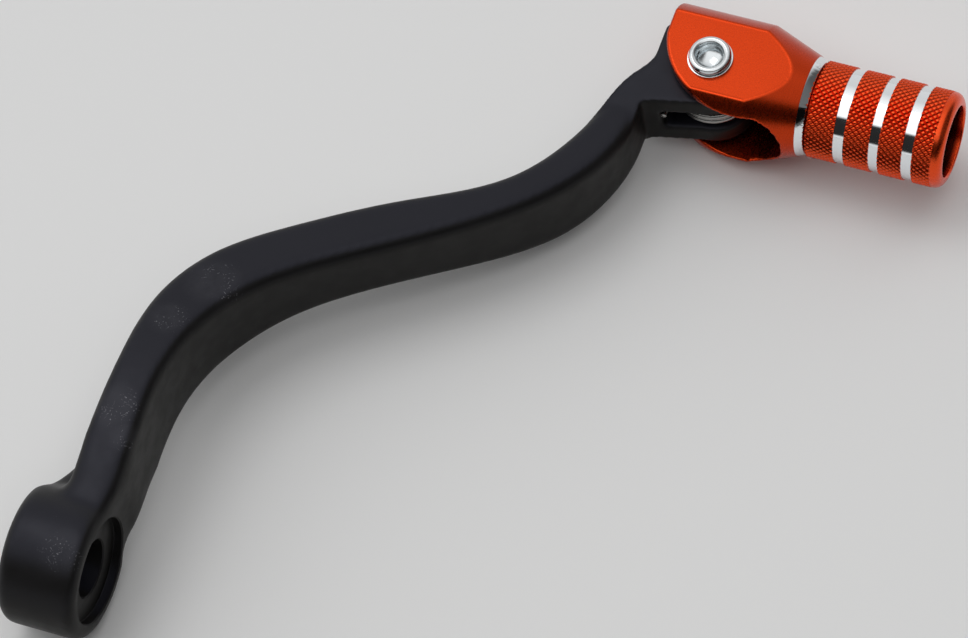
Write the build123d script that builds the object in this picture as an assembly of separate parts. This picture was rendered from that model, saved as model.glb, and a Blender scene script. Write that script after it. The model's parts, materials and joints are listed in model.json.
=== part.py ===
from build123d import *
import os
from math import cos, pi, radians, sin, tan

# Folding gear shift lever of a motorcycle, in millimetres.
# The origin is on the shift shaft's axis, at the hub's outer face.
# +X runs forward from the shaft to the toe peg, -Y runs outward along the shaft and the peg,
# and +Z is the side on which the pivot rivet is rolled over.
# Outline points are (forward, outward), where outward is the distance along -Y.

# Hub
hub_radius = 13.1
hub_length = 15.2
hub_outer_round = 1.8
hub_inner_round = 2.3
recess_radius = 10.0
recess_depth = 1.8
screw_hole_radius = 5.45
screw_land = 4.5
spot_face_radius = 14.2
spline_count = 24
spline_root_radius = 7.0
spline_tip_radius = 6.4
spline_tooth = [(0.0, spline_root_radius), (0.22, spline_root_radius),
                (0.50, spline_tip_radius), (0.72, spline_tip_radius)]
web_height = 9.0
web_corners = [(8.0, -9.0), (22.0, -9.0), (17.0, -11.0), (12.9, -13.6), (8.0, -13.6)]

# Arm
arm_outer_side = [(4.0, 0.5), (22.0, 0.3), (36.0, 0.0), (50.4, 3.2), (61.5, 10.4), (71.5, 21.8),
                  (85.6, 40.0), (98.0, 52.4), (109.5, 58.8), (121.5, 60.2)]
arm_inner_side = [(136.0, 59.5), (132.0, 58.8), (128.4, 56.3), (122.4, 53.8), (112.6, 50.6),
                  (99.8, 43.2), (87.5, 25.5), (75.7, 9.0), (65.0, -2.3), (52.4, -8.1),
                  (37.0, -9.2), (22.0, -9.2), (4.0, -9.2)]
arm_top = [(4.0, 10.0), (20.0, 11.7), (32.0, 12.0), (45.0, 9.9), (60.0, 6.0), (85.0, -0.8),
           (108.0, -6.4), (121.0, -9.6)]
arm_bottom = [(122.0, -24.0), (112.0, -22.8), (100.0, -22.6), (84.0, -17.2), (72.0, -13.6),
              (56.0, -12.2), (40.0, -9.4), (22.0, -8.8), (4.0, -8.4)]
arm_edge_round = 2.2
arm_long_edge = 60.0

# Folding pivot
pivot_x = 133.7
pivot_outward = 70.75
peg_x = 134.55
axis_z = -16.8
plate_height = 14.4
block_inner_face = 59.5
block_end_radius = 7.9
block_rear = [(123.7, 60.9), (123.0, 60.0), (123.0, block_inner_face)]
block_corner_round = 2.0
spring_slot_height = 5.4
spring_slot_start = 63.3

# Folding tip
bar_radius = 13.3
tip_height = 21.4
tip_start = 60.9
bar_end = 79.5
neck_start = 89.3
neck_radius = 9.7
neck_end_radius = 8.8
peg_radius = 9.3
peg_end = 117.6
peg_rim_round = 2.0
knurl_start = 91.2
groove_depth = 0.3
grooves = [(96.65, 98.65), (103.6, 105.4), (110.0, 112.0)]
peg_bore_radius = 6.9
peg_bore_depth = 20.0
fork_gap = 16.2
fork_round_centre = 78.7
stop_clearance = 0.05
front_wall_inner = pivot_x + block_end_radius + stop_clearance
ear_start = (137.4, tip_start)
ear_end = (124.15, 77.2)
ear_radius = 16.65

# Pivot hardware
pin_radius = 3.0
pin_running_clearance = 0.05
bush_wall = 1.0
thrust_washer_radius = 6.2
thrust_washer_thickness = 1.2
thrust_recess_depth = 0.4
thrust_recess_radius = 6.3
sleeve_radius = 5.6
end_clearance = 0.1
head_washer_radius = 4.35
head_washer_thickness = 0.5
rolled_head_radius = 4.1
rolled_head_height = 1.5
rivet_hole_radius = 2.35
rivet_hole_depth = 3.0
foot_head_radius = 5.2
foot_head_height = 1.4
foot_rim_round = 1.1
rolled_rim_round = 1.0
mouth_round = 0.65
drill_half_angle = 59.0
drill_flat_radius = 0.2

# Return spring
wire_radius = 0.65
coil_radius = 6.7
coil_turns = 2.25
coil_pitch = 1.4
arm_leg_length = 9.7
tip_leg_length = 10.0

# Cutters run this far past the faces that they open, and blanks reach well past the object
overshoot = 5.0
reach = 200.0


def place(forward, outward, height=0.0):
    """A point of the row's frame from its forward and outward distances."""
    return Vector(forward, -outward, height)


def cylinder_outward(radius, start, end, centre_x=0.0, centre_z=0.0):
    """A cylinder parallel to the shaft, between two outward distances."""
    plane = Plane(origin=(centre_x, -start, centre_z), z_dir=(0, -1, 0))
    return extrude(plane * Circle(radius), end - start)


def cylinder_up(radius, bottom, top, forward=pivot_x, outward=pivot_outward):
    """A cylinder parallel to the pivot, between two heights."""
    plane = Plane(origin=(forward, -outward, bottom), z_dir=(0, 0, 1))
    return extrude(plane * Circle(radius), top - bottom)


def turned_about_peg(points):
    """A solid turned about the peg's axis from (outward, radius) points."""
    plane = Plane(origin=(peg_x, 0, axis_z), x_dir=(0, -1, 0), z_dir=(-1, 0, 0))
    profile = plane * make_face(Polyline(*points, close=True))
    return revolve(profile, Axis((peg_x, 0, axis_z), (0, 1, 0)), 360)


def hub_blank():
    """The hub's cylinder, with a round on each rim."""
    blank = cylinder_outward(hub_radius, -hub_length, 0.0)
    rims = blank.edges().filter_by(GeomType.CIRCLE).sort_by(Axis.Y)
    blank = fillet(rims[0], hub_outer_round)
    rims = blank.edges().filter_by(GeomType.CIRCLE).sort_by(Axis.Y)
    return fillet(rims[-1], hub_inner_round)


def hub_web():
    """The web that braces the hub's inner half against the arm."""
    corners = [place(x, w) for x, w in web_corners]
    web = extrude(make_face(Polyline(*corners, close=True)), web_height)
    return web.moved(Location((0, 0, -web_height / 2)))


def arm_bar():
    """The bent bar: its plan between the two sides, cut to its height profile."""
    outer = Spline(*[place(x, w) for x, w in arm_outer_side])
    inner = Spline(*[place(x, w) for x, w in arm_inner_side])
    plan = make_face([outer, Line(outer @ 1, inner @ 0), inner, Line(inner @ 1, outer @ 0)])
    prism = extrude(plan, reach / 2, both=True)
    top = Spline(*[Vector(x, 0, z) for x, z in arm_top])
    bottom = Spline(*[Vector(x, 0, z) for x, z in arm_bottom])
    top_end = Line(top @ 1, (pivot_x, 0, arm_top[-1][1]))
    bottom_end = Line((pivot_x, 0, arm_bottom[0][1]), bottom @ 0)
    side = make_face([top, top_end, Line(top_end @ 1, bottom_end @ 0), bottom_end, bottom,
                      Line(bottom @ 1, top @ 0)])
    bar = prism & extrude(side, reach, both=True)
    long_edges = bar.edges().filter_by(lambda edge: edge.length > arm_long_edge)
    return fillet(long_edges, arm_edge_round)


def arm_block():
    """The forked end's blank, rounded about the pivot and flat where it meets the tip's front wall."""
    front = pivot_x + block_end_radius
    rear, heel, toe = [place(x, w) for x, w in block_rear]
    half_turn = ThreePointArc(place(front, pivot_outward),
                              place(pivot_x, pivot_outward + block_end_radius),
                              place(pivot_x - block_end_radius, pivot_outward))
    outline = [Line(toe, place(front, block_inner_face)),
               Line(place(front, block_inner_face), place(front, pivot_outward)),
               half_turn,
               Line(half_turn @ 1, rear),
               Line(rear, heel),
               Line(heel, toe)]
    block = extrude(make_face(outline), plate_height)
    block = block.moved(Location((0, 0, axis_z - plate_height / 2)))
    corner = block.edges().filter_by(Axis.Z).sort_by_distance(place(front, block_inner_face, axis_z))[0]
    return fillet(corner, block_corner_round)


def spline_bore():
    """The serrated bore for the shift shaft, open at the hub's inner face."""
    step = 2 * pi / spline_count
    corners = []
    for tooth in range(spline_count):
        for part, radius in spline_tooth:
            angle = (tooth + part) * step
            corners.append((radius * cos(angle), radius * sin(angle)))
    plane = Plane(origin=(0, recess_depth + screw_land, 0), z_dir=(0, 1, 0))
    return extrude(plane * make_face(Polyline(*corners, close=True)), hub_length)


def shift_arm():
    """Forged arm: splined hub, bent bar and forked end."""
    arm = hub_blank() + hub_web() + arm_bar() + arm_block()
    arm -= cylinder_outward(spot_face_radius, 0.0, overshoot)
    arm -= cylinder_outward(recess_radius, -recess_depth, overshoot)
    arm -= cylinder_outward(screw_hole_radius, -hub_length, 0.0)
    arm -= spline_bore()
    slot = Box(reach, reach, spring_slot_height)
    arm -= slot.moved(Location((pivot_x, -spring_slot_start - reach / 2, axis_z)))
    arm -= cylinder_up(pin_radius + bush_wall, -reach, reach)
    for side in (-1, 1):
        face = axis_z + side * plate_height / 2
        floor = face - side * thrust_recess_depth
        arm -= cylinder_up(thrust_recess_radius, min(face, floor), max(face, floor))
    return arm


def tip_blank():
    """The turned bar: clevis, cone, neck, grooved peg and rounded rim."""
    points = [(tip_start - overshoot, 0.0), (tip_start - overshoot, bar_radius), (bar_end, bar_radius),
              (neck_start, neck_radius), (knurl_start, neck_end_radius), (knurl_start, peg_radius)]
    for start, end in grooves:
        points += [(start, peg_radius), (start, peg_radius - groove_depth),
                   (end, peg_radius - groove_depth), (end, peg_radius)]
    points += [(peg_end, peg_radius), (peg_end, 0.0)]
    blank = turned_about_peg(points)
    rim = blank.edges().filter_by(GeomType.CIRCLE).sort_by(Axis.Y)[0]
    return fillet(rim, peg_rim_round)


def clevis_plan():
    """The clevis seen along the pivot: square at the front, with a large arc round to its rear side."""
    front = peg_x + bar_radius + overshoot
    rear = peg_x - bar_radius - overshoot
    far_end = peg_end + overshoot
    start = place(*ear_start)
    end = place(*ear_end)
    outline = [Line(place(front, tip_start), start),
               RadiusArc(start, end, -ear_radius),
               Line(end, place(rear, ear_end[1])),
               Line(place(rear, ear_end[1]), place(rear, far_end)),
               Line(place(rear, far_end), place(front, far_end)),
               Line(place(front, far_end), place(front, tip_start))]
    return extrude(make_face(outline), reach / 2, both=True)


def fork_cut():
    """The pocket milled from the rear, with a full round end and a wall left at the front."""
    plane = Plane(origin=(front_wall_inner, 0, axis_z), x_dir=(0, -1, 0), z_dir=(-1, 0, 0))
    mouth = tip_start - overshoot
    pocket = Pos((mouth + fork_round_centre) / 2, 0) * Rectangle(fork_round_centre - mouth, fork_gap)
    pocket += Pos(fork_round_centre, 0) * Circle(fork_gap / 2)
    return extrude(plane * pocket, reach)


def folding_tip():
    """One turned and milled piece: the clevis, the cone and the toe peg."""
    tip = tip_blank() & clevis_plan()
    for side in (-1, 1):
        beyond = Box(reach, reach, reach)
        tip -= beyond.moved(Location(place(peg_x, tip_start, axis_z + side * (tip_height + reach) / 2)))
    tip -= fork_cut()
    tip -= cylinder_up(pin_radius, -reach, reach)
    tip -= cylinder_outward(peg_bore_radius, peg_end - peg_bore_depth, peg_end + overshoot, peg_x, axis_z)
    return tip


def pivot_pin():
    """Semi-tubular rivet: a domed head below, a shank and a rolled rim above."""
    top = axis_z + tip_height / 2 + head_washer_thickness
    bottom = axis_z - tip_height / 2
    shank = cylinder_up(pin_radius, bottom, top)
    foot = cylinder_up(foot_head_radius, bottom - foot_head_height, bottom)
    foot_rim = foot.edges().filter_by(GeomType.CIRCLE).sort_by(Axis.Z)[0]
    foot = fillet(foot_rim, foot_rim_round)
    rolled = cylinder_up(rolled_head_radius, top, top + rolled_head_height)
    rolled_rim = rolled.edges().filter_by(GeomType.CIRCLE).sort_by(Axis.Z)[-1]
    rolled = fillet(rolled_rim, rolled_rim_round)
    rivet = shank + foot + rolled
    mouth = top + rolled_head_height
    floor = mouth - rivet_hole_depth
    rivet -= cylinder_up(rivet_hole_radius, floor, mouth + overshoot)
    circles = rivet.edges().filter_by(GeomType.CIRCLE)
    mouth_edge = circles.sort_by_distance((pivot_x, -pivot_outward, mouth))[0]
    rivet = fillet(mouth_edge, mouth_round)
    cone_plane = Plane(origin=(pivot_x, -pivot_outward, floor), z_dir=(0, 0, -1))
    cone_depth = (rivet_hole_radius - drill_flat_radius) / tan(radians(drill_half_angle))
    return rivet - Solid.make_cone(rivet_hole_radius, drill_flat_radius, cone_depth, cone_plane)


def ring_up(outer, inner, bottom, top):
    """A plain ring about the pivot."""
    return cylinder_up(outer, bottom, top) - cylinder_up(inner, bottom - overshoot, top + overshoot)


def rivet_washer():
    """Thin washer that the rivet's rim is rolled over."""
    top_flat = axis_z + tip_height / 2
    return ring_up(head_washer_radius, pin_radius, top_flat, top_flat + head_washer_thickness)


def pivot_bush(side):
    """Plain bush pressed into one plate of the forked end."""
    outer_end = axis_z + side * (plate_height / 2 - thrust_recess_depth)
    inner_end = axis_z + side * spring_slot_height / 2
    return ring_up(pin_radius + bush_wall, pin_radius + pin_running_clearance,
                   min(outer_end, inner_end), max(outer_end, inner_end))


def thrust_washer(side):
    """Washer that keeps a plate of the fork off the ear of the clevis."""
    floor = axis_z + side * (plate_height / 2 - thrust_recess_depth)
    face = floor + side * thrust_washer_thickness
    return ring_up(thrust_washer_radius, pin_radius + pin_running_clearance,
                   min(floor, face), max(floor, face))


def spring_sleeve():
    """Spacer tube on the rivet, inside the spring's coil."""
    half = spring_slot_height / 2 - end_clearance / 2
    return ring_up(sleeve_radius, pin_radius + pin_running_clearance, axis_z - half, axis_z + half)


def spring_leg(start, direction, length):
    """A straight leg of the spring's wire."""
    plane = Plane(origin=start, z_dir=direction)
    return extrude(plane * Circle(wire_radius), length)


def return_spring():
    """Torsion spring: a leg on the fork's slot floor, a coil, and a leg on the tip's front wall."""
    height = coil_pitch * coil_turns
    low = place(pivot_x, pivot_outward, axis_z - height / 2)
    coil_line = Helix(coil_pitch, height, coil_radius).moved(Location(low))
    wire = Plane(origin=coil_line @ 0, z_dir=coil_line % 0) * Circle(wire_radius)
    coil = sweep(wire, coil_line, is_frenet=True)
    tip_leg = spring_leg(coil_line @ 0, -(coil_line % 0), tip_leg_length)
    arm_leg = spring_leg(coil_line @ 1, coil_line % 1, arm_leg_length)
    return coil + tip_leg + arm_leg


parts = {
    "shift_arm": shift_arm(),
    "folding_tip": folding_tip(),
    "pivot_pin": pivot_pin(),
    "rivet_washer": rivet_washer(),
    "upper_bush": pivot_bush(1),
    "lower_bush": pivot_bush(-1),
    "upper_thrust_washer": thrust_washer(1),
    "lower_thrust_washer": thrust_washer(-1),
    "spring_sleeve": spring_sleeve(),
    "return_spring": return_spring(),
}

os.makedirs("parts", exist_ok=True)
for name, solid in parts.items():
    export_step(solid, f"parts/{name}.step")
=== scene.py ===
import json
from math import cos, pi, radians, sin, tan

import bmesh
import bpy
import numpy as np
from mathutils import Matrix, Vector


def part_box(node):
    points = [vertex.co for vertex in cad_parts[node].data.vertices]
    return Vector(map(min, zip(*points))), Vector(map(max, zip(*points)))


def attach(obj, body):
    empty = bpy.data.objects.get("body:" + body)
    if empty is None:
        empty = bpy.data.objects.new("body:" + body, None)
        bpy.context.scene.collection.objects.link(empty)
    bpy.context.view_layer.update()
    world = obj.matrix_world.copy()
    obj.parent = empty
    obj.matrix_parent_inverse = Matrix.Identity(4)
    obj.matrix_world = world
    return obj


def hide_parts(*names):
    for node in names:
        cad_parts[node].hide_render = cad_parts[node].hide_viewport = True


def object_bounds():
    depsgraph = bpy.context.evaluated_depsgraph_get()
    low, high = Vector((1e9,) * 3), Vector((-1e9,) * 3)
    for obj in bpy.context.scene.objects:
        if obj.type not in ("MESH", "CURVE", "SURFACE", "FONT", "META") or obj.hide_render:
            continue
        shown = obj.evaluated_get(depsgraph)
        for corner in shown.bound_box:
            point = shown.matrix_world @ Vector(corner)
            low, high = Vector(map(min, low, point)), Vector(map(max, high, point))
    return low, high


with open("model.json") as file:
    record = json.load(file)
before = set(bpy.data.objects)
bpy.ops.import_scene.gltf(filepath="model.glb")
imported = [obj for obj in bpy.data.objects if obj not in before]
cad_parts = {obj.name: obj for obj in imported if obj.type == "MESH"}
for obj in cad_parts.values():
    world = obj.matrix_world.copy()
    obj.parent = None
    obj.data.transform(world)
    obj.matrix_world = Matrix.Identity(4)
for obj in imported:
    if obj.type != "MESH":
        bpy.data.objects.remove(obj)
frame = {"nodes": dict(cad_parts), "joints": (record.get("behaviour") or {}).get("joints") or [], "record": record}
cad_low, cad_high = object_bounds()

# Folding gear shift lever. Blender works in metres, and lengths in millimetres are written with MM.
# +X runs forward from the shift shaft to the toe peg, -Y runs outward along the shaft and the peg,
# and +Z is the side on which the rivet is rolled over. "Outward" distances start at the hub's outer face.

MM = 0.001
SCENE = bpy.context.scene
record = frame["record"]

# Places that the frame gives
fold = frame["joints"][0]
pivot = Vector(fold["pos_m"])
FOLD_RANGE = radians(fold["range_deg"][1])
tip_low, tip_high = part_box("folding_tip")
hub_inner_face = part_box("shift_arm")[1].y
rivet_low, rivet_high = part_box("pivot_pin")
rivet_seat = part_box("rivet_washer")[1].z

# Toe peg
BAR_RADIUS = 13.3 * MM
peg_x = tip_high.x - BAR_RADIUS
peg_end = -tip_low.y
peg_z = pivot.z
CLEVIS_END = 90.9 * MM
SLOT_HALF = 8.1 * MM
CONE_START, CONE_END = (79.5 * MM, BAR_RADIUS), (89.3 * MM, 9.7 * MM)
PEG_START = 91.2 * MM
NECK_RADIUS = 8.8 * MM
PEG_RADIUS = 9.28 * MM
PEG_CORE = 8.0 * MM
GROOVE_RADIUS = 9.0 * MM
GROOVES = ((96.65 * MM, 98.65 * MM), (103.6 * MM, 105.4 * MM), (110.0 * MM, 112.0 * MM))
CONE_SKIM = 0.06 * MM
RIM_ROUND = 2.0 * MM
BORE_RADIUS = 6.9 * MM
BORE_DEPTH = 20.0 * MM
BORE_CONE = 1.2 * MM

# Knurl: how many diamonds round the peg, how long each is, and the share of its half width that slopes
KNURL_END = 115.4 * MM
KNURL_DEPTH = 0.27 * MM
KNURL_AROUND = 48
KNURL_PITCH = 1.3 * MM
KNURL_CELLS = 6
KNURL_SLOPE = 0.56

# Hub
mounts = {mount["name"]: mount["dims"] for mount in record["mounts"]}
RECESS_RADIUS = mounts["screw_recess"]["r_mm"] * MM
RECESS_DEPTH = mounts["screw_recess"]["length_mm"] * MM
SCREW_HOLE_RADIUS = mounts["screw_hole"]["r_mm"] * MM
SPLINE_START = RECESS_DEPTH + mounts["screw_hole"]["length_mm"] * MM
SPLINE_COUNT = 24
SPLINE_ROOT = 7.0 * MM
SPLINE_TIP = 6.4 * MM
SPLINE_TOOTH = ((0.0, SPLINE_ROOT), (0.22, SPLINE_ROOT), (0.50, SPLINE_TIP), (0.72, SPLINE_TIP))
MOUTH_BEVEL = 0.25 * MM
HUB_FOOT = Vector((0.0, 13.5 * MM, -13.1 * MM))

# The plug that fills the hub's holes while its skin is made, and how far it stops short of the inner face
PLUG_RADIUS = 10.6 * MM
PLUG_END_RADIUS = 8.4 * MM
PLUG_TAPER_START = 12.2 * MM
PLUG_SHORT = 1.2 * MM

# Places where the arm melts into the hub: centre, radius of the full effect, radius where it ends
WEB = ((14.5 * MM, 9.0 * MM, 0.0), 7.5 * MM, 12.0 * MM)
STEP_EDGE = ((14.5 * MM, -0.2 * MM, 0.0), 9.5 * MM, 13.0 * MM)
SHOULDER = ((9.5 * MM, 4.5 * MM, 12.0 * MM), 5.0 * MM, 11.0 * MM)

# Scuffed places on the arm: centre, radius of the full effect, radius where it ends
SCUFFS = (((58.0 * MM, -1.0 * MM, 6.5 * MM), 2.5 * MM, 6.5 * MM),
          ((47.5 * MM, 3.5 * MM, 9.4 * MM), 1.5 * MM, 4.5 * MM),
          ((27.0 * MM, 5.5 * MM, 12.1 * MM), 2.0 * MM, 5.5 * MM),
          ((21.8 * MM, 1.6 * MM, 11.8 * MM), 1.0 * MM, 3.5 * MM),
          ((-3.2 * MM, 4.0 * MM, 12.6 * MM), 1.0 * MM, 5.5 * MM))

# Pivot hardware
PIN_RADIUS = 3.0 * MM
RUNNING_INNER = 3.05 * MM
ROLLED_RADIUS = 4.1 * MM
ROLLING_HOLE = 2.35 * MM
ROLLING_DEPTH = 3.0 * MM
FLANGE_HEIGHT = 1.4 * MM
FLANGE_RADIUS = 5.2 * MM

# Return spring
WIRE_RADIUS = 0.65 * MM
COIL_RADIUS = 6.7 * MM
COIL_TURNS = 2.25
COIL_PITCH = 1.4 * MM
COIL_STEPS = 180
ARM_LEG = 9.43 * MM
TIP_LEG = 9.73 * MM
LEG_STEPS = 12
# The wire's domed end: each circle's share of the radius, how many radii it stands out, and the crown's
WIRE_DOME = ((0.82, 0.22), (0.45, 0.34))
WIRE_CROWN = 0.38

# How fine the skins are, how often they are smoothed, and how far from a flat they are brought onto it
ARM_VOXEL = 0.42 * MM
TIP_VOXEL = 0.26 * MM
ARM_PASSES = 5
MELT_PASSES = 70
TIP_PASSES = 7
SNAP_WITHIN = 0.06 * MM
SNAP_FADE = 0.08 * MM

# Studio: the floor's gap below the lever, and half its side
FLOOR_GAP = 0.5 * MM
FLOOR_REACH = 3.0
# The tent's brightness round the peg's axis, from the front horizon (0) over the top to the rear one (1),
# and the directions along Y between which it rises from a share of that to all of it
TENT = ((0.0, 0.70), (0.22, 0.66), (0.36, 1.0), (0.62, 1.15), (0.68, 1.15), (0.71, 0.02),
        (0.940, 0.02), (0.960, 0.80), (1.0, 0.80))
TENT_OUTWARD = (-0.62, -0.34, 0.12, 1.0)
LAMP_DIRECTION = (0.20, 0.32, 0.90)
LAMP_DISTANCE = 1.0
LAMP_SIDE = 0.50
LAMP_RADIANCE = 1.6

# Camera
VIEW_LENS = 206.7
VIEW_SENSOR = 36.0
VIEW_POSITION = Vector((-338.3 * MM, -308.4 * MM, 892.5 * MM))
VIEW_BACK = Vector((-0.400, -0.255, 0.880))
VIEW_RIGHT = Vector((0.332, -0.935, -0.120))


# ---------------------------------------------------------------- mesh tools

def new_piece(name, data):
    """An object of that mesh, light or camera, in the scene."""
    piece = bpy.data.objects.new(name, data)
    SCENE.collection.objects.link(piece)
    return piece


def piece_from(name, spots, faces):
    """An object from vertex places and faces, with its normals turned outward."""
    mesh = bpy.data.meshes.new(name)
    mesh.from_pydata([tuple(spot) for spot in spots], [], faces)
    solid = bmesh.new()
    solid.from_mesh(mesh)
    bmesh.ops.remove_doubles(solid, verts=solid.verts, dist=1e-8)
    bmesh.ops.recalc_face_normals(solid, faces=solid.faces)
    solid.to_mesh(mesh)
    solid.free()
    return new_piece(name, mesh)


def about_peg(along, radius, angle):
    """A place about the toe peg's axis."""
    return Vector((peg_x + radius * cos(angle), -along, peg_z + radius * sin(angle)))


def about_shaft(along, radius, angle):
    """A place about the shift shaft's axis."""
    return Vector((radius * cos(angle), -along, radius * sin(angle)))


def about_pivot(along, radius, angle):
    """A place about the folding pivot, along being the height."""
    return Vector((pivot.x + radius * cos(angle), pivot.y + radius * sin(angle), along))


def softened(profile, closed, steps=5):
    """A profile of (along, radius, round) corners, with an arc in place of each corner that has a round."""
    count = len(profile)
    line = []
    for index, (along, radius, corner) in enumerate(profile):
        here = Vector((along, radius))
        at_an_end = not closed and index in (0, count - 1)
        if not corner or at_an_end:
            line.append((along, radius))
            continue
        before = Vector(profile[index - 1][:2]) - here
        after = Vector(profile[(index + 1) % count][:2]) - here
        back, ahead = before.normalized(), after.normalized()
        half = back.angle(ahead) / 2
        reach = corner / tan(half)
        centre = here + (back + ahead).normalized() * corner / sin(half)
        start = (here + back * reach - centre).normalized()
        end = (here + ahead * reach - centre).normalized()
        for step in range(steps + 1):
            spot = centre + start.slerp(end, step / steps) * corner
            line.append((spot.x, spot.y))
    return line


def skin(name, rows, around, segments, closed=False, falling=None):
    """A skin over rows of (along, radii) about an axis, a radius of 0 being one place on that axis.
    A four-sided face is split along one diagonal if falling says which for its row and column."""
    spots, starts = [], []
    on_axis = [radii[0] == 0 for _, radii in rows]
    for (along, radii), single in zip(rows, on_axis):
        starts.append(len(spots))
        if single:
            spots.append(around(along, 0.0, 0.0))
        else:
            spots += [around(along, radii[turn], 2 * pi * turn / segments) for turn in range(segments)]
    pairs = [(row, row + 1) for row in range(len(rows) - 1)] + ([(len(rows) - 1, 0)] if closed else [])
    faces = []
    for row, next_row in pairs:
        first, second = starts[row], starts[next_row]
        for turn in range(segments):
            after = (turn + 1) % segments
            corners = (first + turn, first + after, second + after, second + turn)
            if on_axis[row]:
                faces.append((first, corners[2], corners[3]))
            elif on_axis[next_row]:
                faces.append((corners[0], corners[1], second))
            elif falling is None:
                faces.append(corners)
            elif falling(row, turn):
                faces += [(corners[0], corners[1], corners[3]), corners[1:]]
            else:
                faces += [corners[:3], (corners[0], corners[2], corners[3])]
    return piece_from(name, spots, faces)


def turned(name, profile, around, segments=96, closed=True):
    """A turned piece. A closed profile is a ring's section, an open one starts and ends on the axis."""
    rows = [(along, [radius] * segments) for along, radius in softened(profile, closed)]
    return skin(name, rows, around, segments, closed)


def applied(piece):
    """Makes the piece's modifiers part of its mesh."""
    graph = bpy.context.evaluated_depsgraph_get()
    mesh = bpy.data.meshes.new_from_object(piece.evaluated_get(graph))
    piece.modifiers.clear()
    piece.data = mesh


def combine(piece, other, operation="DIFFERENCE"):
    """Cuts the other solid out of the piece, or joins the two into one."""
    step = piece.modifiers.new("combine", "BOOLEAN")
    step.operation = operation
    step.solver = "MANIFOLD"
    step.object = other
    applied(piece)
    bpy.data.objects.remove(other)


def cast(piece, size):
    """Remakes the piece as one even skin of small squares."""
    step = piece.modifiers.new("cast", "REMESH")
    step.mode = "VOXEL"
    step.voxel_size = size
    step.use_smooth_shade = True
    applied(piece)


def vertex_places(mesh):
    """The mesh's vertices as rows of X, Y and Z."""
    places = np.empty(len(mesh.vertices) * 3)
    mesh.vertices.foreach_get("co", places)
    return places.reshape(-1, 3)


def relax(piece, passes, strength=1.0):
    """Moves each vertex towards the middle of its neighbours, by a strength from 0 to 1 that may vary."""
    mesh = piece.data
    places = vertex_places(mesh)
    count = len(places)
    ends = np.empty(len(mesh.edges) * 2, int)
    mesh.edges.foreach_get("vertices", ends)
    ends = ends.reshape(-1, 2)
    degree = np.bincount(ends.ravel(), minlength=count)
    share = 0.5 * np.broadcast_to(strength, count)
    active = share[ends[:, 0]] + share[ends[:, 1]] > 0
    first, second = ends[active].T
    for _ in range(passes):
        middle = np.empty_like(places)
        for axis in range(3):
            middle[:, axis] = (np.bincount(first, places[second, axis], count)
                               + np.bincount(second, places[first, axis], count))
        near = np.maximum(degree, 1)[:, None]
        places += share[:, None] * (middle / near - places)
    mesh.vertices.foreach_set("co", places.ravel())
    mesh.update()


def fading(places, centre, full, none):
    """For each place, 1 within the distance full of the centre, falling to 0 at the distance none."""
    away = np.linalg.norm(places - np.array(centre), axis=1)
    return np.clip((none - away) / (none - full), 0.0, 1.0)


def smooth_shaded(piece, crease=radians(38)):
    """Smooth shading, with sharp edges where the surface turns by more than crease."""
    piece.data.shade_smooth()
    piece.data.set_sharp_from_angle(angle=crease)


# ---------------------------------------------------------------- materials

class Nodes:
    """A node tree, built up node by node."""

    def __init__(self, tree):
        self.tree = tree

    def node(self, kind, inputs=(), **settings):
        """A node with those settings and inputs; an input that is a socket is linked."""
        made = self.tree.nodes.new(kind)
        for key, value in settings.items():
            setattr(made, key, value)
        for key, value in dict(inputs).items():
            self.feed(made.inputs[key], value)
        return made

    def feed(self, socket, value):
        if isinstance(value, bpy.types.NodeSocket):
            self.tree.links.new(value, socket)
        else:
            socket.default_value = value

    def math(self, operation, first, second=0.0, clamp=False):
        made = self.node("ShaderNodeMath", {0: first, 1: second}, operation=operation, use_clamp=clamp)
        return made.outputs[0]

    def times(self, first, *others):
        """The product of all of them."""
        for other in others:
            first = self.math("MULTIPLY", first, other)
        return first

    def most(self, first, *others):
        """The largest of them."""
        for other in others:
            first = self.math("MAXIMUM", first, other)
        return first

    def vector(self, operation, first, second=(0, 0, 0), result=0):
        made = self.node("ShaderNodeVectorMath", {0: first, 1: second}, operation=operation)
        return made.outputs[result]

    def split(self, place):
        """A place's X, Y and Z."""
        return self.node("ShaderNodeSeparateXYZ", {0: place}).outputs

    def between(self, value, low, high, to_low=0.0, to_high=1.0):
        """The value's range from low to high stretched to another one, with soft ends."""
        made = self.node("ShaderNodeMapRange", {"Value": value, "From Min": low, "From Max": high,
                                                "To Min": to_low, "To Max": to_high},
                         interpolation_type="SMOOTHSTEP")
        return made.outputs[0]


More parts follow.
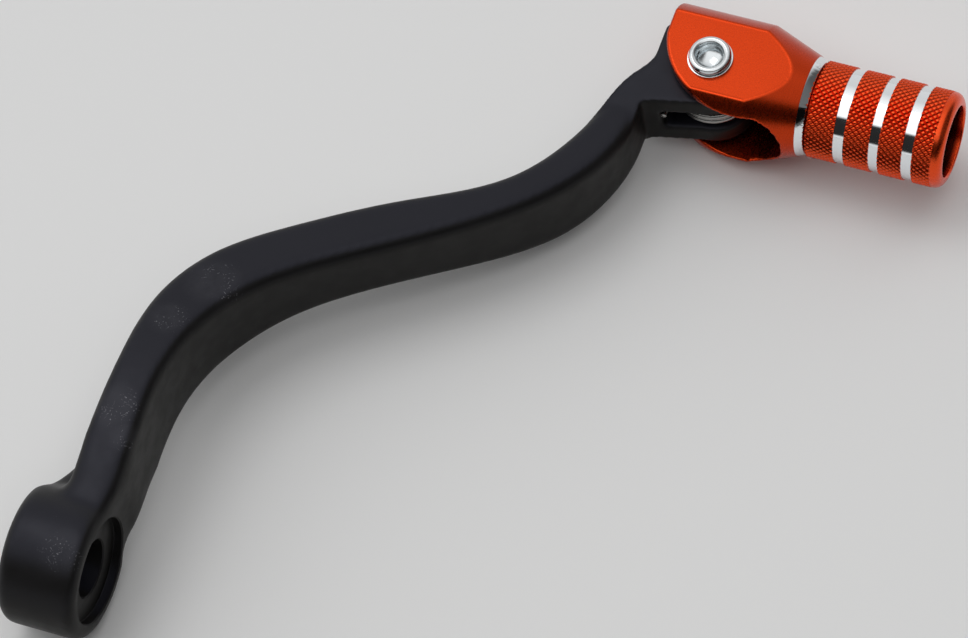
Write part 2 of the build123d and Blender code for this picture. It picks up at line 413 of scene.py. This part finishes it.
class Finish(Nodes):
    """A material, with patterns that stay fixed to the object."""

    def __init__(self, name):
        self.material = bpy.data.materials.new(name)
        self.material.use_nodes = True
        super().__init__(self.material.node_tree)
        self.surface = self.tree.nodes["Principled BSDF"]
        self.place = self.node("ShaderNodeTexCoord").outputs["Object"]

    def noise(self, scale, detail, stretch=(1, 1, 1)):
        """Noise of that many cells a metre, from 0 to 1."""
        where = self.vector("MULTIPLY", self.place, stretch)
        made = self.node("ShaderNodeTexNoise", {"Vector": where, "Scale": scale, "Detail": detail,
                                                "Roughness": 0.55})
        return made.outputs[0]

    def blend(self, share, first, second):
        """A colour between two colours, each a socket or (red, green, blue)."""
        made = self.node("ShaderNodeMix", data_type="RGBA")
        for key, value in ((0, share), (6, first), (7, second)):
            self.feed(made.inputs[key], (*value, 1) if isinstance(value, tuple) else value)
        return made.outputs[2]

    def bumps(self, *layers):
        """Bump nodes chained from (height, distance) layers."""
        normal = None
        for height, distance in layers:
            made = self.node("ShaderNodeBump", {"Height": height, "Distance": distance, "Strength": 1.0})
            if normal is not None:
                self.feed(made.inputs["Normal"], normal)
            normal = made.outputs[0]
        self.feed(self.surface.inputs["Normal"], normal)

    def scratches(self, scale, length, width, amount):
        """Short straight scratches seen from above, one in some of the cells of a Voronoi pattern."""
        x, y, _ = self.split(self.place)
        flat = self.node("ShaderNodeCombineXYZ", {0: x, 1: y})
        cells = self.node("ShaderNodeTexVoronoi", {"Vector": flat.outputs[0], "Scale": scale},
                          voronoi_dimensions="2D")
        away = self.vector("SUBTRACT", flat.outputs[0], cells.outputs["Position"])
        turn, pick, stretch = self.node("ShaderNodeSeparateColor", {0: cells.outputs["Color"]}).outputs
        angle = self.math("MULTIPLY", turn, 2 * pi)
        run = self.node("ShaderNodeCombineXYZ", {0: self.math("COSINE", angle), 1: self.math("SINE", angle)})
        along = self.math("ABSOLUTE", self.vector("DOT_PRODUCT", away, run.outputs[0], result=1))
        straight = self.vector("LENGTH", away, result=1)
        square = self.math("SUBTRACT", self.times(straight, straight), self.times(along, along))
        across = self.math("SQRT", self.math("MAXIMUM", square, 0.0))
        longest = self.math("MULTIPLY", stretch, length)
        body = self.between(across, width, width * 0.3)
        ends = self.between(along, longest, self.math("MULTIPLY", longest, 0.5))
        return self.times(body, ends, self.math("LESS_THAN", pick, amount))

    def specks(self, scale, size, amount):
        """Small round specks in some of the cells of a Voronoi pattern."""
        cells = self.node("ShaderNodeTexVoronoi", {"Vector": self.place, "Scale": scale})
        pick = self.node("ShaderNodeSeparateColor", {0: cells.outputs["Color"]}).outputs[0]
        spot = self.between(cells.outputs["Distance"], size * scale, size * scale * 0.4)
        return self.times(spot, self.math("LESS_THAN", pick, amount))

    def upward(self):
        """How far the surface faces up, from -1 to 1."""
        return self.split(self.node("ShaderNodeTexCoord").outputs["Normal"])[2]

    def near(self, centre, full, none):
        """1 within the distance full of a place, falling to 0 at the distance none."""
        away = self.vector("DISTANCE", self.place, centre, result=1)
        return self.between(away, none, full)

    def set(self, **inputs):
        for key, value in inputs.items():
            self.feed(self.surface.inputs[key.replace("_", " ")], value)


def black_anodised():
    """Satin black hard anodising over a forging, with scuffs where boots and stones reach it, and painted
    reflections: a bluish cast on faces that look up and a warmer one on the flanks.
    """
    finish = Finish("arm_black_anodised")
    cloud = finish.noise(45.0, 3.0)
    grain = finish.noise(2600.0, 2.0)
    forged = finish.noise(260.0, 4.0)
    upward = finish.upward()
    # Painted reflection: faces that look up get a bluish copy of the black and the flanks a warmer copy, standing
    # for the light that falls on each.
    flank_painted_reflection = finish.blend(cloud, (0.0075, 0.0070, 0.0066), (0.0105, 0.0100, 0.0095))
    above = finish.blend(cloud, (0.0075, 0.0075, 0.0112), (0.0105, 0.0105, 0.0152))
    colour = finish.blend(finish.between(upward, 0.80, 0.97), flank_painted_reflection, above)

    scuffed = finish.most(*[finish.near(*scuff) for scuff in SCUFFS])
    patchy = finish.between(finish.noise(170.0, 3.0), 0.45, 0.62)
    broken = finish.between(finish.noise(2400.0, 3.0), 0.38, 0.58)
    nicks = finish.scratches(640.0, 0.85 * MM, 0.05 * MM, 0.7)
    short = finish.scratches(1400.0, 0.38 * MM, 0.045 * MM, 0.7)
    lines = finish.times(finish.most(nicks, short), broken)
    grit = finish.times(finish.specks(1500.0, 0.17 * MM, 0.45), 0.8)
    rubbed = finish.times(finish.most(lines, grit), finish.times(scuffed, patchy))
    faint = finish.times(finish.scratches(60.0, 6.0 * MM, 0.04 * MM, 0.35), 0.13)
    dust = finish.times(finish.specks(330.0, 0.10 * MM, 0.10), 0.55)
    mark = finish.most(rubbed, faint, dust)
    haze = finish.times(scuffed, finish.noise(520.0, 5.0), 0.06)
    marked = finish.math("ADD", finish.times(mark, 0.75), haze, clamp=True)
    colour = finish.blend(marked, colour, (0.34, 0.34, 0.37))

    rough = finish.between(forged, 0.3, 0.7, 0.38, 0.46)
    shine = finish.between(upward, 0.1, 0.95, 0.13, 0.25)
    # Painted reflection colour: the reflection is tinted bluish on faces that look up and warm on the flanks.
    painted_reflection_tint = finish.blend(finish.between(upward, 0.0, 0.6), (1.0, 0.96, 0.92), (0.86, 0.87, 1.0))
    finish.set(Base_Color=colour, Roughness=rough, Metallic=0.0, Specular_IOR_Level=shine,
               Specular_Tint=painted_reflection_tint)
    unmarked = finish.math("SUBTRACT", 1.0, mark)
    finish.bumps((grain, 0.010 * MM), (forged, 0.012 * MM), (unmarked, 0.012 * MM))
    return finish.material


def orange_anodised():
    """Bright orange anodising over machined aluminium, with painted shade in the knurl's valleys and inside the
    bore.
    """
    finish = Finish("tip_orange_anodised")
    x, y, z = finish.split(finish.place)
    sideways = finish.math("SUBTRACT", x, peg_x)
    upward = finish.math("SUBTRACT", z, peg_z)
    square = finish.math("ADD", finish.times(sideways, sideways), finish.times(upward, upward))
    radius = finish.math("SQRT", square)
    outward = finish.times(y, -1.0)
    on_peg = finish.between(outward, PEG_START, PEG_START + 0.2 * MM)
    # Painted shade in the knurl's valleys: darker from a third of the knurl's depth down to its bottom.
    deep = finish.between(radius, PEG_RADIUS - 0.3 * KNURL_DEPTH, PEG_RADIUS - KNURL_DEPTH)
    valley_painted_shade = finish.times(deep, on_peg, finish.between(outward, KNURL_END + 0.3 * MM, KNURL_END))
    bore_end = peg_end - BORE_DEPTH
    # Painted shade inside the bore: the wall is made nearly black from about a millimetre inside the mouth down to
    # the bottom.
    inside = finish.times(finish.between(radius, BORE_RADIUS + 0.25 * MM, BORE_RADIUS + 0.05 * MM),
                          finish.between(outward, peg_end - 0.4 * MM, peg_end - 1.4 * MM),
                          finish.between(outward, bore_end - 3.0 * MM, bore_end - 2.0 * MM))
    cloud = finish.noise(90.0, 3.0)
    colour = finish.blend(cloud, (0.52, 0.040, 0.0055), (0.57, 0.047, 0.0075))
    colour = finish.blend(on_peg, colour, (0.86, 0.082, 0.017))
    # Painted shade: the knurl's valleys are darkened.
    colour = finish.blend(finish.times(valley_painted_shade, 0.60), colour, (0.20, 0.011, 0.003))
    # Painted shade: nearly black inside the bore.
    colour = finish.blend(finish.times(inside, 0.93), colour, (0.020, 0.004, 0.002))
    speck = finish.specks(420.0, 0.07 * MM, 0.06)
    hair = finish.scratches(120.0, 3.0 * MM, 0.03 * MM, 0.22)
    worn = finish.most(finish.times(speck, 0.7), finish.times(hair, 0.22))
    colour = finish.blend(worn, colour, (0.86, 0.42, 0.24))
    rough = finish.between(finish.noise(1600.0, 3.0), 0.3, 0.7, 0.255, 0.295)
    blasted = finish.noise(4200.0, 2.0)
    lathe = finish.noise(1.0, 2.0, stretch=(60.0, 5200.0, 60.0))
    finish.set(Base_Color=colour, Roughness=rough, Metallic=1.0, Coat_Weight=0.08, Coat_Roughness=0.2)
    finish.bumps((blasted, 0.006 * MM), (lathe, 0.004 * MM))
    return finish.material


def bare_aluminium():
    """Aluminium turned bright through the anodising."""
    finish = Finish("ring_bare_aluminium")
    lathe = finish.noise(1.0, 3.0, stretch=(40.0, 9000.0, 40.0))
    cloud = finish.noise(500.0, 3.0)
    colour = finish.blend(cloud, (0.86, 0.90, 0.93), (0.93, 0.95, 0.96))
    finish.set(Base_Color=colour, Metallic=1.0, Roughness=finish.between(cloud, 0.3, 0.7, 0.06, 0.11))
    finish.bumps((lathe, 0.0015 * MM))
    return finish.material


def plated_steel():
    """Bright nickel plating on the rivet and its washer, with fine marks from the rolling tool."""
    finish = Finish("rivet_plated_steel")
    cloud = finish.noise(600.0, 4.0)
    colour = finish.blend(cloud, (0.62, 0.66, 0.68), (0.80, 0.82, 0.83))
    marks = finish.scratches(1500.0, 0.4 * MM, 0.02 * MM, 0.5)
    rough = finish.math("ADD", finish.between(cloud, 0.3, 0.7, 0.12, 0.22), finish.times(marks, 0.15))
    finish.set(Base_Color=colour, Metallic=1.0, Roughness=rough)
    finish.bumps((finish.noise(900.0, 3.0), 0.012 * MM), (marks, -0.004 * MM))
    return finish.material


def plain_metal(name, dark, light, rough_low, rough_high, bump):
    """Uncoated metal with a fine brushed or drawn grain."""
    finish = Finish(name)
    cloud = finish.noise(400.0, 4.0)
    grain = finish.noise(1.0, 3.0, stretch=(400.0, 400.0, 6000.0))
    rough = finish.between(grain, 0.3, 0.7, rough_low, rough_high)
    finish.set(Base_Color=finish.blend(cloud, dark, light), Metallic=1.0, Roughness=rough)
    finish.bumps((grain, bump), (finish.noise(1500.0, 2.0), bump))
    return finish.material


def pale_floor():
    """Matt off-white studio paper."""
    finish = Finish("studio_floor")
    fibre = finish.noise(900.0, 4.0)
    colour = finish.blend(finish.noise(3.0, 2.0), (0.86, 0.86, 0.86), (0.89, 0.89, 0.885))
    finish.set(Base_Color=colour, Roughness=0.9, Specular_IOR_Level=0.1)
    finish.bumps((fibre, 0.01 * MM))
    return finish.material


# ---------------------------------------------------------------- arm

def hub_plug():
    """Fills the hub's holes, so that they can be cut sharp in the finished skin."""
    back = -hub_inner_face + PLUG_SHORT
    return turned("plug", [(0.0, 0.0, 0), (0.0, PLUG_RADIUS, 0), (-PLUG_TAPER_START, PLUG_RADIUS, 0),
                           (back, PLUG_END_RADIUS, 0), (back, 0.0, 0)], about_shaft, closed=False)


def hub_cutter():
    """The screw's recess and its hole, with a small bevel at each mouth."""
    past_face = 4.0 * MM
    past_hole = -SPLINE_START - 1.0 * MM
    floor = -RECESS_DEPTH
    profile = [(past_face, 0.0, 0), (past_face, RECESS_RADIUS + MOUTH_BEVEL, 0),
               (0.0, RECESS_RADIUS + MOUTH_BEVEL, 0), (-MOUTH_BEVEL, RECESS_RADIUS, 0),
               (floor, RECESS_RADIUS, 0.2 * MM), (floor, SCREW_HOLE_RADIUS + MOUTH_BEVEL, 0),
               (floor - MOUTH_BEVEL, SCREW_HOLE_RADIUS, 0), (past_hole, SCREW_HOLE_RADIUS, 0),
               (past_hole, 0.0, 0)]
    return turned("recess", profile, about_shaft, segments=160, closed=False)


def spline_cutter():
    """The serrated bore, open at the hub's inner face."""
    angles = [(2 * pi * (tooth + part) / SPLINE_COUNT, radius)
              for tooth in range(SPLINE_COUNT) for part, radius in SPLINE_TOOTH]
    depths = (-SPLINE_START, -hub_inner_face - 5.0 * MM)
    spots = [about_shaft(depth, radius, angle) for depth in depths for angle, radius in angles]
    count = len(angles)
    faces = [tuple(range(count)), tuple(range(2 * count - 1, count - 1, -1))]
    faces += [(n, (n + 1) % count, count + (n + 1) % count, count + n) for n in range(count)]
    return piece_from("spline", spots, faces)


def shift_arm():
    """The forging: one even skin over the CAD arm, melted into the hub, with its holes cut sharp."""
    arm = new_piece("arm_forging", frame["nodes"]["shift_arm"].data.copy())
    plug = hub_plug()
    both = bmesh.new()
    both.from_mesh(arm.data)
    both.from_mesh(plug.data)
    both.to_mesh(arm.data)
    both.free()
    bpy.data.objects.remove(plug)
    arm.data.materials.clear()
    cast(arm, ARM_VOXEL)
    places = vertex_places(arm.data)
    inward = places[:, 1]
    web = fading(places, *WEB) * np.clip((inward - 5.0 * MM) / (2.0 * MM), 0.0, 1.0)
    step_edge = fading(places, *STEP_EDGE) * np.clip((3.0 * MM - inward) / (2.5 * MM), 0.0, 1.0)
    shoulder = fading(places, *SHOULDER)
    relax(arm, ARM_PASSES)
    relax(arm, MELT_PASSES, np.maximum(np.maximum(web, step_edge), shoulder))
    combine(arm, hub_cutter())
    combine(arm, spline_cutter())
    smooth_shaded(arm)
    return arm


# ---------------------------------------------------------------- folding tip

def saw(value):
    """A triangle wave: 0 at whole numbers, 1 half way between them."""
    part = value - np.floor(value)
    return 1.0 - np.abs(2.0 * part - 1.0)


def knurled_peg():
    """The toe peg: a diamond knurl, a smooth rounded rim and a blind bore."""
    columns = KNURL_AROUND * KNURL_CELLS
    step = KNURL_PITCH / KNURL_CELLS
    count = int(round((KNURL_END - PEG_START) / step))
    last = PEG_START + count * step
    root = CLEVIS_END - 1.0 * MM
    rim = PEG_RADIUS - 0.05 * MM
    bore_end = peg_end - BORE_DEPTH
    head = [(root, 0.0, 0), (root, PEG_CORE, 0), (PEG_START, PEG_CORE, 0)]
    tail = [(last + 0.12 * MM, PEG_RADIUS - KNURL_DEPTH * 0.55, 0), (last + 0.3 * MM, rim, 0),
            (peg_end, rim, RIM_ROUND - 0.15 * MM), (peg_end, BORE_RADIUS, 0.35 * MM),
            (bore_end, BORE_RADIUS, 0.5 * MM), (bore_end - BORE_CONE, 0.0, 0)]
    before = [(along, np.full(columns, radius)) for along, radius in softened(head, False)]
    after = [(along, np.full(columns, radius)) for along, radius in softened(tail, False)]
    knurl = []
    for row in range(count + 1):
        rising = (np.arange(columns) + row) / KNURL_CELLS
        falling = (np.arange(columns) - row) / KNURL_CELLS
        crest = np.minimum(np.minimum(saw(rising), saw(falling)) / KNURL_SLOPE, 1.0)
        knurl.append((PEG_START + row * step, PEG_RADIUS - KNURL_DEPTH * (1.0 - crest)))

    def along_a_valley(row, turn):
        return (turn + row - len(before) + 1) % KNURL_CELLS == 0

    return skin("peg", before + knurl + after, about_peg, columns, falling=along_a_valley)


def ring_cutter(start, end, first_radius, second_radius):
    """A turning cut that leaves a band of bare metal."""
    outer = BAR_RADIUS + 2.0 * MM
    profile = [(start, outer, 0), (start, first_radius, 0), (end, second_radius, 0), (end, outer, 0)]
    return turned("ring", profile, about_peg, segments=KNURL_AROUND * KNURL_CELLS)


def settled(values, ideal):
    """The values, with those within a few hundredths of a millimetre of the ideal brought onto it."""
    off = values - ideal
    return ideal + off * np.clip((np.abs(off) - SNAP_WITHIN) / SNAP_FADE, 0.0, 1.0)


def true_up(piece):
    """Brings the clevis's skin onto its exact flats and its exact turned surface."""
    places = vertex_places(piece.data)
    for flat in (tip_low.z, tip_high.z, peg_z - SLOT_HALF, peg_z + SLOT_HALF):
        places[:, 2] = settled(places[:, 2], flat)
    sideways, upward = places[:, 0] - peg_x, places[:, 2] - peg_z
    radius = np.hypot(sideways, upward)
    distances, radii = zip(CONE_START, CONE_END, (PEG_START, NECK_RADIUS))
    scale = settled(radius, np.interp(-places[:, 1], distances, radii)) / np.maximum(radius, MM)
    places[:, 0] = peg_x + sideways * scale
    places[:, 2] = peg_z + upward * scale
    piece.data.vertices.foreach_set("co", places.ravel())
    piece.data.update()


def clevis():
    """The milled clevis and the cone, one even skin over the CAD tip, ending inside the peg's root."""
    body = new_piece("tip_machined", frame["nodes"]["folding_tip"].data.copy())
    body.data.materials.clear()
    far, wide = 200.0 * MM, 40.0 * MM
    beyond = turned("beyond", [(CLEVIS_END, 0.0, 0), (CLEVIS_END, wide, 0), (far, wide, 0), (far, 0.0, 0)],
                    about_peg, closed=False)
    solid = bmesh.new()
    solid.from_mesh(body.data)
    bmesh.ops.remove_doubles(solid, verts=solid.verts, dist=1e-7)
    solid.to_mesh(body.data)
    solid.free()
    combine(body, beyond)
    cast(body, TIP_VOXEL)
    relax(body, TIP_PASSES)
    true_up(body)
    return body


def paint_rings(mesh):
    """Gives the faces that the ring cutters left the bare metal."""
    count = len(mesh.polygons)
    middles = np.empty(count * 3)
    mesh.polygons.foreach_get("center", middles)
    middles = middles.reshape(-1, 3)
    outward = -middles[:, 1]
    radius = np.hypot(middles[:, 0] - peg_x, middles[:, 2] - peg_z)
    slack = 0.02 * MM
    bare_faces = np.zeros(count, bool)
    for start, end in GROOVES:
        in_groove = (radius < GROOVE_RADIUS + slack) & (radius > BORE_RADIUS + 1.0 * MM)
        bare_faces |= (outward > start + slack) & (outward < end - slack) & in_groove
    (start, first), (end, second) = CONE_END, (PEG_START, NECK_RADIUS)
    cone = first + (second - first) * (outward - start) / (end - start)
    bare_faces |= (outward > start + slack) & (outward < end - slack) & (radius > cone - 0.3 * MM)
    mesh.polygons.foreach_set("material_index", bare_faces.astype(np.int32))


def folding_tip():
    """Clevis, cone and peg in one, with four bare rings turned through the anodising."""
    tip = clevis()
    combine(tip, knurled_peg(), "UNION")
    start, first = CONE_END
    combine(tip, ring_cutter(start, PEG_START, first - CONE_SKIM, NECK_RADIUS - CONE_SKIM))
    for start, end in GROOVES:
        combine(tip, ring_cutter(start, end, GROOVE_RADIUS, GROOVE_RADIUS))
    tip.data.materials.clear()
    tip.data.materials.append(orange)
    tip.data.materials.append(bare)
    paint_rings(tip.data)
    smooth_shaded(tip, radians(55))
    return tip


# ---------------------------------------------------------------- pivot hardware

def rivet():
    """Semi-tubular rivet: a low dome below, and above a rim rolled over its washer."""
    foot, top = rivet_low.z, rivet_high.z
    flange = foot + FLANGE_HEIGHT
    floor = top - ROLLING_DEPTH
    profile = [(foot, 0.0, 0), (foot, FLANGE_RADIUS - 0.9 * MM, 0.9 * MM),
               (foot + 1.05 * MM, FLANGE_RADIUS, 0.3 * MM), (flange, FLANGE_RADIUS - 0.05 * MM, 0.12 * MM),
               (flange, PIN_RADIUS, 0), (rivet_seat, PIN_RADIUS, 0),
               (rivet_seat + 0.02 * MM, ROLLED_RADIUS - 0.25 * MM, 0.15 * MM),
               (rivet_seat + 0.6 * MM, ROLLED_RADIUS, 0.4 * MM),
               (top - 0.22 * MM, ROLLED_RADIUS - 0.28 * MM, 0.35 * MM),
               (top, ROLLED_RADIUS - 0.8 * MM, 0.4 * MM),
               (top - 0.28 * MM, ROLLING_HOLE + 0.42 * MM, 0.3 * MM),
               (top - 0.95 * MM, ROLLING_HOLE + 0.1 * MM, 0.25 * MM),
               (floor, ROLLING_HOLE, 0.12 * MM), (floor - 1.35 * MM, 0.0, 0)]
    return turned("pivot_rivet", profile, about_pivot, segments=128, closed=False)


def flat_ring(name, node, inner, edge):
    """A washer, bush or sleeve with small bevels, in the place of its CAD node."""
    low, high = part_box(node)
    outer = (high.x - low.x) / 2
    profile = [(low.z, inner, edge), (low.z, outer, edge), (high.z, outer, edge), (high.z, inner, edge)]
    return turned(name, profile, about_pivot)


def wire_along(name, line, radius, sides=20):
    """A round wire swept along a line of places, with domed ends."""
    spots, faces = [], []
    across = Vector((0, 0, 1))
    for index, spot in enumerate(line):
        ahead = (line[min(index + 1, len(line) - 1)] - line[max(index - 1, 0)]).normalized()
        across = (across - ahead * across.dot(ahead)).normalized()
        beside = ahead.cross(across)
        for side in range(sides):
            angle = 2 * pi * side / sides
            spots.append(spot + (across * cos(angle) + beside * sin(angle)) * radius)

    def band(first, second):
        """The faces between two circles of the wire."""
        for side in range(sides):
            after = (side + 1) % sides
            faces.append((first + side, first + after, second + after, second + side))

    for row in range(len(line) - 1):
        band(row * sides, (row + 1) * sides)
    for row, ahead in ((0, line[0] - line[1]), (len(line) - 1, line[-1] - line[-2])):
        end, cap, out = row * sides, len(spots), ahead.normalized() * radius
        for ring_share, reach in WIRE_DOME:
            spots += [line[row] + (spots[end + side] - line[row]) * ring_share + out * reach
                      for side in range(sides)]
        crown = len(spots)
        spots.append(line[row] + out * WIRE_CROWN)
        band(end, cap)
        band(cap, cap + sides)
        faces += [(cap + sides + side, cap + sides + (side + 1) % sides, crown) for side in range(sides)]
    return piece_from(name, spots, faces)


def return_spring():
    """Torsion spring of round wire: a coil with a straight leg at each end."""
    coil = []
    for step in range(COIL_STEPS + 1):
        turn = COIL_TURNS * step / COIL_STEPS
        angle = 2 * pi * turn
        coil.append(pivot + Vector((COIL_RADIUS * cos(angle), COIL_RADIUS * sin(angle),
                                    COIL_PITCH * (turn - COIL_TURNS / 2))))
    first = (coil[0] - coil[1]).normalized()
    last = (coil[-1] - coil[-2]).normalized()
    start = [coil[0] + first * TIP_LEG * (LEG_STEPS - n) / LEG_STEPS for n in range(LEG_STEPS)]
    end = [coil[-1] + last * ARM_LEG * (n + 1) / LEG_STEPS for n in range(LEG_STEPS)]
    return wire_along("spring_wire", start + coil + end, WIRE_RADIUS)


# ---------------------------------------------------------------- build

orange = orange_anodised()
bare = bare_aluminium()
black = black_anodised()
plated = plated_steel()
spring_metal = plain_metal("spring_drawn_steel", (0.30, 0.29, 0.28), (0.45, 0.44, 0.42),
                           0.22, 0.34, 0.004 * MM)
ground_metal = plain_metal("washer_ground_steel", (0.50, 0.50, 0.51), (0.62, 0.62, 0.63),
                           0.25, 0.38, 0.005 * MM)
bronze_metal = plain_metal("bush_bronze", (0.42, 0.24, 0.09), (0.56, 0.36, 0.15),
                           0.30, 0.45, 0.006 * MM)


def stand_in(piece, node, body, material=None):
    """The piece stands for a CAD node and moves with its body."""
    if material is not None:
        piece.data.materials.clear()
        piece.data.materials.append(material)
        smooth_shaded(piece)
    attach(piece, body)
    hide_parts(node)


stand_in(shift_arm(), "shift_arm", "arm", black)
stand_in(folding_tip(), "folding_tip", "tip")
stand_in(rivet(), "pivot_pin", "tip", plated)
stand_in(flat_ring("rivet_washer_ring", "rivet_washer", PIN_RADIUS, 0.1 * MM), "rivet_washer", "tip",
         plated)
for side in ("upper", "lower"):
    stand_in(flat_ring(f"{side}_bush_ring", f"{side}_bush", RUNNING_INNER, 0.12 * MM), f"{side}_bush", "arm",
             bronze_metal)
    stand_in(flat_ring(f"{side}_thrust_ring", f"{side}_thrust_washer", RUNNING_INNER, 0.1 * MM),
             f"{side}_thrust_washer", "arm", ground_metal)
stand_in(flat_ring("spring_sleeve_tube", "spring_sleeve", RUNNING_INNER, 0.2 * MM), "spring_sleeve", "arm",
         ground_metal)
stand_in(return_spring(), "return_spring", "arm", spring_metal)


# ---------------------------------------------------------------- floor, lights and camera

def studio_floor():
    """A pale floor that leans, to lie just under the hub, the rivet's foot and the folded peg."""
    rivet_foot = Vector((pivot.x, pivot.y, rivet_low.z))
    peg_foot = Vector((peg_x, -peg_end + RIM_ROUND, peg_z - PEG_RADIUS))
    folded_foot = pivot + Matrix.Rotation(FOLD_RANGE, 3, Vector(fold["axis"])) @ (peg_foot - pivot)
    up = (rivet_foot - HUB_FOOT).cross(folded_foot - HUB_FOOT).normalized()
    up = -up if up.z < 0 else up
    middle = rivet_foot - up * FLOOR_GAP
    side = Vector((1, 0, 0)).cross(up).normalized()
    ahead = up.cross(side)
    corners = [middle + (ahead * a + side * b) * FLOOR_REACH
               for a, b in ((-1, -1), (1, -1), (1, 1), (-1, 1))]
    floor = piece_from("floor", corners, [(0, 1, 2, 3)])
    floor.data.materials.append(pale_floor())


def overhead_softbox():
    """A soft square light that faces the lever's middle."""
    light = bpy.data.lights.new("overhead", "AREA")
    light.shape = "RECTANGLE"
    light.size = light.size_y = LAMP_SIDE
    light.energy = LAMP_RADIANCE * pi * LAMP_SIDE * LAMP_SIDE
    lamp = new_piece("overhead", light)
    towards = Vector(LAMP_DIRECTION).normalized()
    lamp.location = (cad_low + cad_high) / 2 + towards * LAMP_DISTANCE
    lamp.rotation_euler = towards.to_track_quat("Z", "Y").to_euler()


def studio_world():
    """A white tent for the metal to reflect, with a dark gap low at the rear, and dimmer outward."""
    world = bpy.data.worlds.new("studio")
    world.use_nodes = True
    sky = Nodes(world.node_tree)
    x, y, z = sky.split(sky.node("ShaderNodeTexCoord").outputs["Generated"])
    half_turns = sky.math("DIVIDE", sky.math("ARCTAN2", z, x), pi)
    tent = sky.node("ShaderNodeValToRGB", {0: half_turns})
    stops = tent.color_ramp.elements
    stops.remove(stops[1])
    stops[0].color = (TENT[0][1], TENT[0][1], TENT[0][1], 1)
    for where, level in TENT[1:]:
        stops.new(where).color = (level, level, level, 1)
    lit = sky.vector("MULTIPLY", tent.outputs[0], sky.between(y, *TENT_OUTWARD))
    sky.feed(world.node_tree.nodes["Background"].inputs["Color"], lit)
    SCENE.world = world


def camera():
    """A long lens above the hub's end, turned so that the lever rises to the right."""
    lens = bpy.data.cameras.new("camera")
    lens.lens = VIEW_LENS
    lens.sensor_width = VIEW_SENSOR
    lens.clip_start, lens.clip_end = 0.05, 20.0
    seen = new_piece("camera", lens)
    back = VIEW_BACK.normalized()
    right = (VIEW_RIGHT - back * VIEW_RIGHT.dot(back)).normalized()
    turn = Matrix((right, back.cross(right), back)).transposed().to_4x4()
    seen.matrix_world = Matrix.Translation(VIEW_POSITION) @ turn
    SCENE.camera = seen


studio_floor()
studio_world()
overhead_softbox()
camera()
SCENE.view_settings.view_transform = "Standard"
